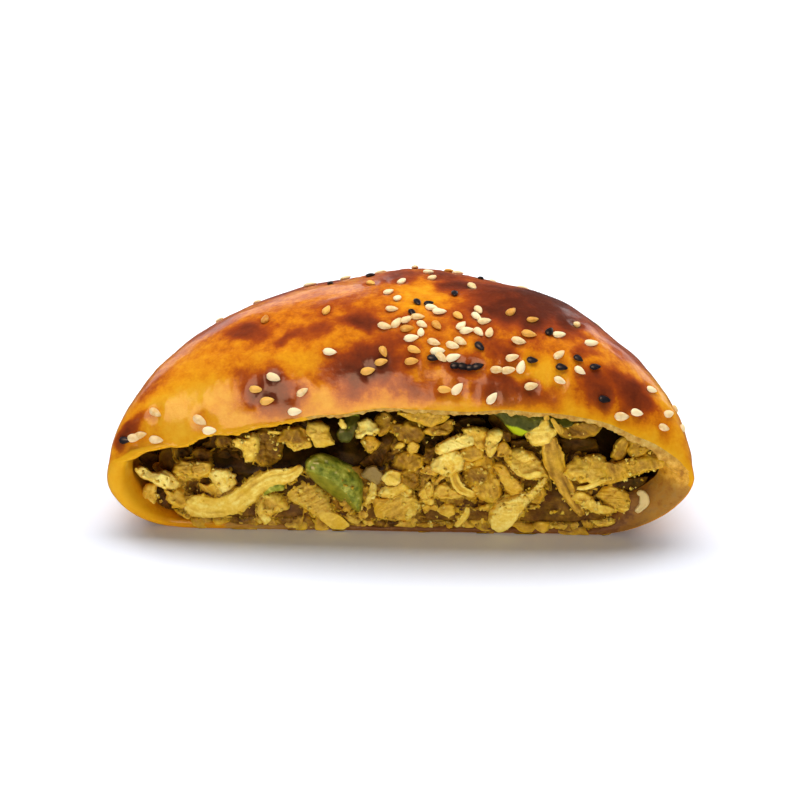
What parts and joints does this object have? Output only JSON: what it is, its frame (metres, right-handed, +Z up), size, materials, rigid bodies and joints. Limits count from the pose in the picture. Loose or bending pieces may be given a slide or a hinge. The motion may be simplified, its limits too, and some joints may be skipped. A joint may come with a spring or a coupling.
{
  "type": "half chicken pie",
  "caption": "Half of an oval baked stuffed dough pie, cut across, with a seeded glazed crust over a loose filling of torn chicken, green pepper and onion.",
  "frame": {"origin": "middle of the flat base, at the height it rests on", "axes": "+X along the cut, from its left end to its right end as seen from the open side; +Y from the cut to the rounded back; +Z up"},
  "size_m": [0.127, 0.0724, 0.0445],
  "materials": {
    "crust": "egg-washed baked dough, glossy golden orange with mahogany patches",
    "chicken": "moist torn cooked chicken with yellow spice",
    "green_pepper": "wet cooked green pepper",
    "onion": "soft cooked onion"
  },
  "bodies": {
    "root": {"crust": "crust", "chicken_filling": "chicken", "green_pepper_wedge": "green_pepper", "green_pepper_strip": "green_pepper", "green_pepper_chip": "green_pepper", "green_pepper_slice": "green_pepper", "onion_piece": "onion", "onion_crescent": "onion"}
  },
  "joints": []
}
